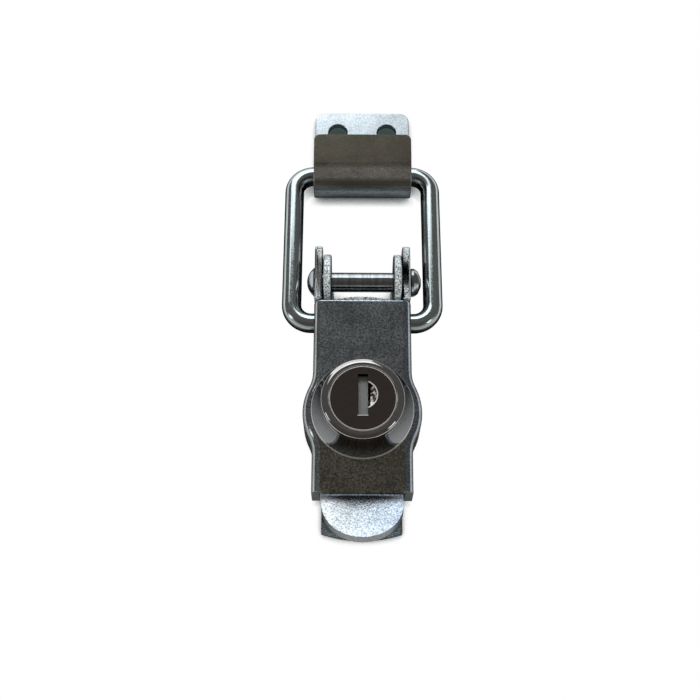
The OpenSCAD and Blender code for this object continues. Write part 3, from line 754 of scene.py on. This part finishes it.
fit(makeRivet(), "root", "zinc_rivet", finish["rivet"], "pivot_rivet")
print("rivet peened")


# Lock housing: flared head with a rounded rim, and a flatted, threaded body

lockSizes = {
    "axisY": 5.7 * mm,
    "face": 14.5 * mm,
    "head": 9.2 * mm,
    "skirt": 12.4 * mm,
    "skirtEdge": 0.7 * mm,
    "skirtHollow": 0.35,  # how far the skirt's sweep is hollowed
    "skirtSteps": 16,
    "rim": 9.85 * mm,
    "rimRound": 1.3 * mm,
    "rimCorner": 0.35 * mm,
    "rimDrop": 0.02 * mm,
    "flatTop": 8.52 * mm,
    "crown": 1.6 * mm,
    "crownSteps": 12,
    "chamfer": 0.1 * mm,
    "body": 9 * mm,
    "flats": 16 * mm,
    "flatCut": 4 * mm,
    "foot": 6.9 * mm,
    "footChamfer": 0.4 * mm,
    "faceRadius": 7.95 * mm,
    "flange": 2.4 * mm,
    "barrel": 6.6 * mm,
    "gap": 0.08 * mm,
    "sink": 0.12 * mm,
    "threadPitch": 1 * mm,
    "threadDepth": 0.45 * mm,
    "threadStart": 0.3 * mm,
    "threadRelief": 2 * mm,
    "threadInset": 0.02 * mm,
    "threadCrest": (0.4, 0.6),  # shares of the pitch
    "around": 160,
    "shade": 28,  # degrees
}


def makeHousing():
    s = lockSizes
    profile = skirtLine(s) + rimLine(s) + insideLine(s) + threadLine(s)
    profile += [(s["skirt"] - s["chamfer"], s["face"]), (s["skirt"], s["face"] + s["chamfer"])]
    piece = turned("lockHousing", profile, s["around"])
    cutFlats(piece, s["flats"], s["flatCut"], 20 * mm, s["foot"] - 1 * mm, s["face"] - 0.001 * mm)
    smoothed(piece, s["shade"])
    placeMesh(piece, Matrix.Translation((0, s["axisY"], 0)))
    return piece


def skirtLine(s):
    # The flared skirt, hollowed between its foot and the rim
    low = s["face"] + s["skirtEdge"]
    high = s["face"] + s["head"] - s["rimRound"]
    points = []
    for i in range(s["skirtSteps"] + 1):
        t = i / s["skirtSteps"]
        inwards = t + s["skirtHollow"] * t * (1 - t)
        points.append((s["skirt"] + (s["rim"] - s["skirt"]) * inwards, low + (high - low) * t))
    return points


def rimLine(s):
    # A tight corner on the outside of the rim, and a flatter crown that runs in to the flat top
    top = s["face"] + s["head"]
    crown = s["crown"]
    slope = asin((s["rim"] - s["rimCorner"] - s["flatTop"]) / crown)
    turns = [slope * i / s["crownSteps"] for i in range(s["crownSteps"], -1, -1)]
    shoulder = [(s["flatTop"] + crown * sin(turn), top - crown * (1 - cos(turn))) for turn in turns]
    edgeR, edgeZ = shoulder[0]
    turns = [radians(a) for a in range(90, 20, -12)]
    corner = [(edgeR + s["rimCorner"] * sin(turn), edgeZ - s["rimCorner"] * (1 - cos(turn)) - s["rimDrop"])
              for turn in turns]
    return corner + shoulder


def insideLine(s):
    # The bore for the plug, from the face down to the foot
    top = s["face"] + s["head"]
    seat = top - s["sink"] - s["flange"]
    lip = s["faceRadius"] + s["gap"]
    bore = s["barrel"] + s["gap"]
    return [(lip + s["chamfer"], top), (lip, top - s["chamfer"]), (lip, seat),
            (bore, seat), (bore, s["foot"]), (s["body"] - s["footChamfer"], s["foot"])]


def threadLine(s):
    # The thread on the body, from the foot up to the lever's face
    pitch = s["threadPitch"]
    low, high = s["threadCrest"]
    crest = s["body"] - s["threadInset"]
    turns = int((s["face"] - s["threadRelief"] - s["foot"]) / pitch)
    points = []
    for i in range(turns):
        z = s["foot"] + s["threadStart"] + i * pitch
        points += [(s["body"] - s["threadDepth"], z), (crest, z + low * pitch), (crest, z + high * pitch)]
    return points + [(s["body"], s["foot"] + s["threadStart"] + turns * pitch), (s["body"], s["face"])]


fit(makeHousing(), "lever", "chrome", finish["chrome"], "lock_housing")
print("lock housing turned")


# Lock plug: a flanged face with its keyway and half-moon recess, and the barrel under it

plugSizes = {
    "keyway": 2.4 * mm,
    "keywayLength": 10 * mm,
    "keywayOffset": 0.9 * mm,
    "keywayDepth": 12.2 * mm,
    "moon": 3.5 * mm,
    "moonFloor": 1.9 * mm,
    "moonDepth": 0.8 * mm,
    "shutterReach": 2.05 * mm,
    "shutterTop": 1.25 * mm,
    "shutterFloor": 4.95 * mm,
    "shutterInset": 0.01 * mm,
    "boss": 3.4 * mm,
    "bossFlats": 5 * mm,
    "bossCut": 2 * mm,
    "bossLength": 1.5 * mm,
    "proud": 0.2 * mm,
    "pinAcross": 1.6 * mm,
    "pinDepth": 1.7 * mm,
    "pinHole": 0.4 * mm,
    "pinLength": 10.7 * mm,
    "wafers": 5,
    "waferStart": 5.05 * mm,
    "waferPitch": 1.6 * mm,
    "waferSlot": 5.4 * mm,
    "waferHeight": 1.1 * mm,
    "screwBore": 1.95 * mm,
    "screwDepth": 4.15 * mm,
    "screwOut": 0.1 * mm,  # how far the bore's cutter stands out of the boss
    "edge": 0.24 * mm,
    "edgeSteps": 6,
    "around": 128,
    "shade": 25,  # degrees
}


def makePlug():
    s, k = lockSizes, plugSizes
    top = s["face"] + s["head"] - s["sink"]
    foot = s["foot"] - k["proud"]
    rest = top - s["flange"] + s["gap"]
    end = foot - k["bossLength"]
    rounded = arc(s["faceRadius"] - k["edge"], top - k["edge"], k["edge"], 90, 0, k["edgeSteps"])
    barrel = [(s["faceRadius"], rest), (s["barrel"], rest), (s["barrel"], foot)]
    boss = [(k["boss"], foot), (k["boss"], end), (0, end)]
    piece = turned("lockPlug", [(0, top)] + rounded + barrel + boss, k["around"])
    cutFlats(piece, k["bossFlats"], k["bossCut"], 6 * mm, foot - 2 * mm, foot - 0.001 * mm)
    cutKeyway(piece, s, k, top)
    for i in range(k["wafers"]):
        z = top - k["waferStart"] - i * k["waferPitch"]
        cutAway(piece, block((-k["waferSlot"] / 2, -s["barrel"] - mm, z - k["waferHeight"] / 2),
                             (k["waferSlot"] / 2, s["barrel"] + mm, z + k["waferHeight"] / 2)))
    bore = barAlongY(0, 0, 0, k["screwBore"], k["screwDepth"])
    placeMesh(bore, Matrix.Translation((0, 0, end + k["screwDepth"] / 2 - k["screwOut"]))
              @ Matrix.Rotation(pi / 2, 4, "X"))
    cutAway(piece, bore)
    smoothed(piece, k["shade"])
    placeMesh(piece, Matrix.Translation((0, s["axisY"], 0)))
    return piece


def cutKeyway(piece, s, k, top):
    # The keyway, the room its shutter swings in, the half-moon recess and the shutter's pin hole
    y = k["keywayOffset"]
    half = k["keywayLength"] / 2
    wide = k["keyway"] / 2
    cutAway(piece, block((-wide, y - half, top - k["keywayDepth"]), (wide, y + half, top + mm)))
    inset = half - k["shutterInset"]
    cutAway(piece, block((0, y - inset, top - k["shutterFloor"]),
                         (k["shutterReach"], y + inset, top - k["shutterTop"])))
    cutAway(piece, moonCutter(y, top))
    cutAway(piece, barAlongY(k["pinAcross"], y, top - k["pinDepth"], k["pinHole"], k["pinLength"]))


def barAlongY(x, y, z, radius, length):
    deselectAll()
    bpy.ops.mesh.primitive_cylinder_add(vertices=32, radius=radius, depth=length, location=(x, y, z),
                                        rotation=(pi / 2, 0, 0))
    bpy.ops.object.transform_apply(location=True, rotation=True, scale=True)
    return bpy.context.object


def moonCutter(y, top):
    # A cone that has the moon's radius at the face and its floor's radius below, cut in half
    k = plugSizes
    flare = k["moon"] - k["moonFloor"]
    deselectAll()
    bpy.ops.mesh.primitive_cone_add(vertices=96, radius1=k["moonFloor"], radius2=k["moon"] + flare,
                                    depth=2 * k["moonDepth"], location=(0, y, top))
    bpy.ops.object.transform_apply(location=True, rotation=True, scale=True)
    cutter = bpy.context.object
    bpy.ops.object.mode_set(mode="EDIT")
    bpy.ops.mesh.select_all(action="SELECT")
    bpy.ops.mesh.bisect(plane_co=(0, 0, 0), plane_no=(1, 0, 0), clear_inner=True, use_fill=True)
    bpy.ops.object.mode_set(mode="OBJECT")
    return cutter


fit(makePlug(), "plug", "chrome_face", finish["face"], "lock_plug")
print("plug cut")


# Pressed and stamped pieces keep their CAD form, with broken edges

copies = {
    # node: (piece, edge, body, slot, finish)
    "base_plate": ("basePlate", 0.2 * mm, "root", "zinc_plate", "plate"),
    "keeper": ("keeperHook", 0.6 * mm, "root", "zinc_keeper", "keeper"),
    "lever": ("leverShell", 0.2 * mm, "lever", "zinc_lever", "lever"),
    "keyway_shutter": ("keywayShutter", 0.05 * mm, "shutter", "shutter_steel", "shutter"),
    "housing_washer": ("housingWasher", 0.08 * mm, "lever", "inner_steel", "inner"),
    "housing_nut": ("housingNut", 0.25 * mm, "lever", "inner_steel", "inner"),
    "lock_cam": ("lockCam", 0.15 * mm, "plug", "inner_steel", "inner"),
    "cam_washer": ("camWasher", 0.08 * mm, "plug", "inner_steel", "inner"),
    "cam_screw": ("camScrew", 0.2 * mm, "plug", "inner_steel", "inner"),
}
softEdges = {
    # the ears' rounder edges: where they begin along, and their width
    "base_plate": (34.5 * mm, 0.5 * mm),
    "lever": (29 * mm, 0.5 * mm),
}
for nodeName, (pieceName, edge, body, slotName, finishName) in copies.items():
    piece = copyOfNode(nodeName, pieceName, edge, softEdges.get(nodeName))
    fit(piece, body, slotName, finish[finishName], nodeName)

for number in range(1, plugSizes["wafers"] + 1):
    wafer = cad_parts[f"wafer_{number}"]
    wafer.data.materials.clear()
    wafer.data.materials.append(finish["brass"])
print("sheet and small pieces finished")


# Studio: white floor and backdrop, a soft window behind the latch, and a room that is dark overhead
# and in front, with a lighter part low in front

studio = {
    "floor": 3.0,
    "floorDrop": 0.02 * mm,
    "paper": (0.8, 0.8, 0.8),
    "white": (1, 1, 1),
    "contact": {"reach": 3.6 * mm, "dark": 0.42, "light": 0.72, "tone": (0.04, 0.06, 0.057)},
    # two rows of screw holes in the base and one in the keeper
    "holes": [(x * mm, y * mm) for y in (-19.1, 19.1, 90.02) for x in (-6.7, 6.7)],
    "holeRadius": 2.5 * mm,
    "holeFade": 0.3 * mm,
    "holeTone": (0.045, 0.068, 0.063),
    "surround": {"reach": 90 * mm, "dark": 0.85, "light": 1.0, "tone": (0.1, 0.105, 0.105)},
    "overhead": (0.11, 0.107, 0.103),
    "front": (0.075, 0.068, 0.062),
    "frontAlong": (0.05, -0.45),  # directions: 1 is straight back, or straight up
    "frontLow": (0.5, 0.51, 0.51),
    "frontLowAlong": (0.0, -0.4),
    "frontLowUp": (0.6, 0.3),
    "horizonUp": (0.14, 0.02),
    "diffuse": (0.4, 0.4, 0.4),  # what dull surfaces are lit by
    "lamps": [
        # name, place, aimed at, width, height, power, colour
        ("window", (-0.17, 0.755, 0.44), (0, 0, 0), 0.74, 0.7, 2.4, (0.94, 0.98, 1.0)),
        ("keeperCard", (-0.02, 0.31, 0.3), (0, 0.118, 0), 0.14, 0.11, 0.05, (0.92, 0.97, 1.0)),
        ("rightLamp", (0.657, -0.342, 0.495), (0, 0, 0), 0.22, 0.22, 0.24, (1.0, 0.98, 0.95)),
        ("leftLamp", (-0.774, -0.144, 0.387), (0, 0, 0), 0.2, 0.3, 0.27, (0.95, 0.98, 1.0)),
    ],
}


def shadedWhite(tree, reach, dark, light, tone):
    # White that falls to a tone where the object closes off more of the sky within reach
    shade = tree.nodes.new("ShaderNodeAmbientOcclusion")
    shade.inputs["Distance"].default_value = reach
    shade.samples = 4
    ramp = tree.nodes.new("ShaderNodeValToRGB")
    ramp.color_ramp.elements[0].position = dark
    ramp.color_ramp.elements[0].color = (*tone, 1)
    ramp.color_ramp.elements[1].position = light
    ramp.color_ramp.elements[1].color = (*studio["white"], 1)
    tree.links.new(shade.outputs["AO"], ramp.inputs["Fac"])
    return ramp.outputs["Color"]


def darkHoles(tree, colour):
    # No light reaches the floor at the bottom of the screw holes
    place = tree.nodes.new("ShaderNodeTexCoord").outputs["Object"]
    for x, y in studio["holes"]:
        distance = tree.nodes.new("ShaderNodeVectorMath")
        distance.operation = "DISTANCE"
        distance.inputs[1].default_value = (x, y, 0)
        tree.links.new(place, distance.inputs[0])
        edge = tree.nodes.new("ShaderNodeMapRange")
        edge.inputs["From Min"].default_value = studio["holeRadius"] + studio["holeFade"]
        edge.inputs["From Max"].default_value = studio["holeRadius"]
        tree.links.new(distance.outputs["Value"], edge.inputs["Value"])
        mix = tree.nodes.new("ShaderNodeMix")
        mix.data_type = "RGBA"
        tree.links.new(edge.outputs["Result"], mix.inputs["Factor"])
        tree.links.new(colour, mix.inputs[mixSockets["a"]])
        mix.inputs[mixSockets["b"]].default_value = (*studio["holeTone"], 1)
        colour = mix.outputs[mixSockets["result"]]
    return colour


def whiteToCamera(tree, lit):
    # Camera, glossy and transmission rays see white with the object's shadow; other rays see what is lit
    path = tree.nodes.new("ShaderNodeLightPath")
    seen = path.outputs["Is Camera Ray"]
    for name in ("Is Glossy Ray", "Is Transmission Ray"):
        add = tree.nodes.new("ShaderNodeMath")
        add.operation = "MAXIMUM"
        tree.links.new(seen, add.inputs[0])
        tree.links.new(path.outputs[name], add.inputs[1])
        seen = add.outputs[0]
    colour = tree.nodes.new("ShaderNodeMix")
    colour.data_type = "RGBA"
    tree.links.new(path.outputs["Is Glossy Ray"], colour.inputs["Factor"])
    tree.links.new(shadedWhite(tree, **studio["contact"]), colour.inputs[mixSockets["a"]])
    tree.links.new(shadedWhite(tree, **studio["surround"]), colour.inputs[mixSockets["b"]])
    white = tree.nodes.new("ShaderNodeEmission")
    tree.links.new(darkHoles(tree, colour.outputs[mixSockets["result"]]), white.inputs["Color"])
    mix = tree.nodes.new("ShaderNodeMixShader")
    tree.links.new(seen, mix.inputs[0])
    tree.links.new(lit, mix.inputs[1])
    tree.links.new(white.outputs[0], mix.inputs[2])
    return mix.outputs[0]


def makeFloor():
    deselectAll()
    bpy.ops.mesh.primitive_plane_add(size=studio["floor"], location=(0, 0, -studio["floorDrop"]))
    floor = bpy.context.object
    floor.name = "floor"
    material = bpy.data.materials.new("paperFloor")
    material.use_nodes = True
    tree = material.node_tree
    tree.nodes.clear()
    paper = tree.nodes.new("ShaderNodeBsdfDiffuse")
    paper.inputs["Color"].default_value = (*studio["paper"], 1)
    out = tree.nodes.new("ShaderNodeOutputMaterial")
    under = tree.nodes.new("ShaderNodeMixShader")  # from below it isn't there
    tree.links.new(tree.nodes.new("ShaderNodeNewGeometry").outputs["Backfacing"], under.inputs[0])
    tree.links.new(whiteToCamera(tree, paper.outputs[0]), under.inputs[1])
    tree.links.new(tree.nodes.new("ShaderNodeBsdfTransparent").outputs[0], under.inputs[2])
    tree.links.new(under.outputs[0], out.inputs["Surface"])
    floor.data.materials.append(material)


def makeWorld():
    world = bpy.data.worlds.new("studio")
    bpy.context.scene.world = world
    world.use_nodes = True
    tree = world.node_tree
    tree.nodes.clear()
    way = tree.nodes.new("ShaderNodeTexCoord").outputs["Generated"]
    split = tree.nodes.new("ShaderNodeSeparateXYZ")
    tree.links.new(way, split.inputs[0])

    def smooth(value, low, high):
        node = tree.nodes.new("ShaderNodeMapRange")
        node.interpolation_type = "SMOOTHSTEP"
        node.inputs["From Min"].default_value = low
        node.inputs["From Max"].default_value = high
        tree.links.new(value, node.inputs["Value"])
        return node.outputs["Result"]

    def mix(factor, a, b):
        node = tree.nodes.new("ShaderNodeMix")
        node.data_type = "RGBA"
        tree.links.new(factor, node.inputs["Factor"])
        for place, value in (("a", a), ("b", b)):
            socket = node.inputs[mixSockets[place]]
            if isinstance(value, tuple):
                socket.default_value = (*value, 1)
            else:
                tree.links.new(value, socket)
        return node.outputs[mixSockets["result"]]

    room = mix(smooth(split.outputs["Y"], *studio["frontAlong"]), studio["overhead"], studio["front"])
    low = tree.nodes.new("ShaderNodeMath")
    low.operation = "MULTIPLY"
    tree.links.new(smooth(split.outputs["Y"], *studio["frontLowAlong"]), low.inputs[0])
    tree.links.new(smooth(split.outputs["Z"], *studio["frontLowUp"]), low.inputs[1])
    room = mix(low.outputs[0], room, studio["frontLow"])
    room = mix(smooth(split.outputs["Z"], *studio["horizonUp"]), room, studio["white"])
    path = tree.nodes.new("ShaderNodeLightPath")
    seen = mix(path.outputs["Is Diffuse Ray"], room, studio["diffuse"])
    colour = mix(path.outputs["Is Camera Ray"], seen, studio["white"])
    light = tree.nodes.new("ShaderNodeBackground")
    tree.links.new(colour, light.inputs["Color"])
    out = tree.nodes.new("ShaderNodeOutputWorld")
    tree.links.new(light.outputs[0], out.inputs["Surface"])


def makeLamps():
    for name, place, target, width, height, power, colour in studio["lamps"]:
        lamp = bpy.data.lights.new(name, "AREA")
        lamp.shape = "RECTANGLE"
        lamp.size, lamp.size_y = width, height
        lamp.energy = power
        lamp.color = colour
        holder = bpy.data.objects.new(name, lamp)
        holder.location = place
        holder.rotation_euler = (Vector(place) - Vector(target)).to_track_quat("Z", "Y").to_euler()
        bpy.context.scene.collection.objects.link(holder)


cameraView = {
    "lens": 59.22,
    "sensor": 36,
    "near": 0.01,
    "place": (-3.07 * mm, pivotY - 120.5 * mm, 278.2 * mm),
    "tilt": 0.363,  # radians, from straight down
    "roll": 0.005,
}


def makeCamera():
    s = cameraView
    camera = bpy.data.objects.new("camera", bpy.data.cameras.new("camera"))
    bpy.context.scene.collection.objects.link(camera)
    camera.data.lens = s["lens"]
    camera.data.sensor_width = s["sensor"]
    camera.data.clip_start = s["near"]
    camera.location = s["place"]
    turn = Matrix.Rotation(s["tilt"], 3, "X") @ Matrix.Rotation(s["roll"], 3, "Z")
    camera.rotation_euler = turn.to_euler()
    bpy.context.scene.camera = camera


makeFloor()
makeWorld()
makeLamps()
makeCamera()
bpy.context.scene.view_settings.view_transform = "Standard"
print("studio set")
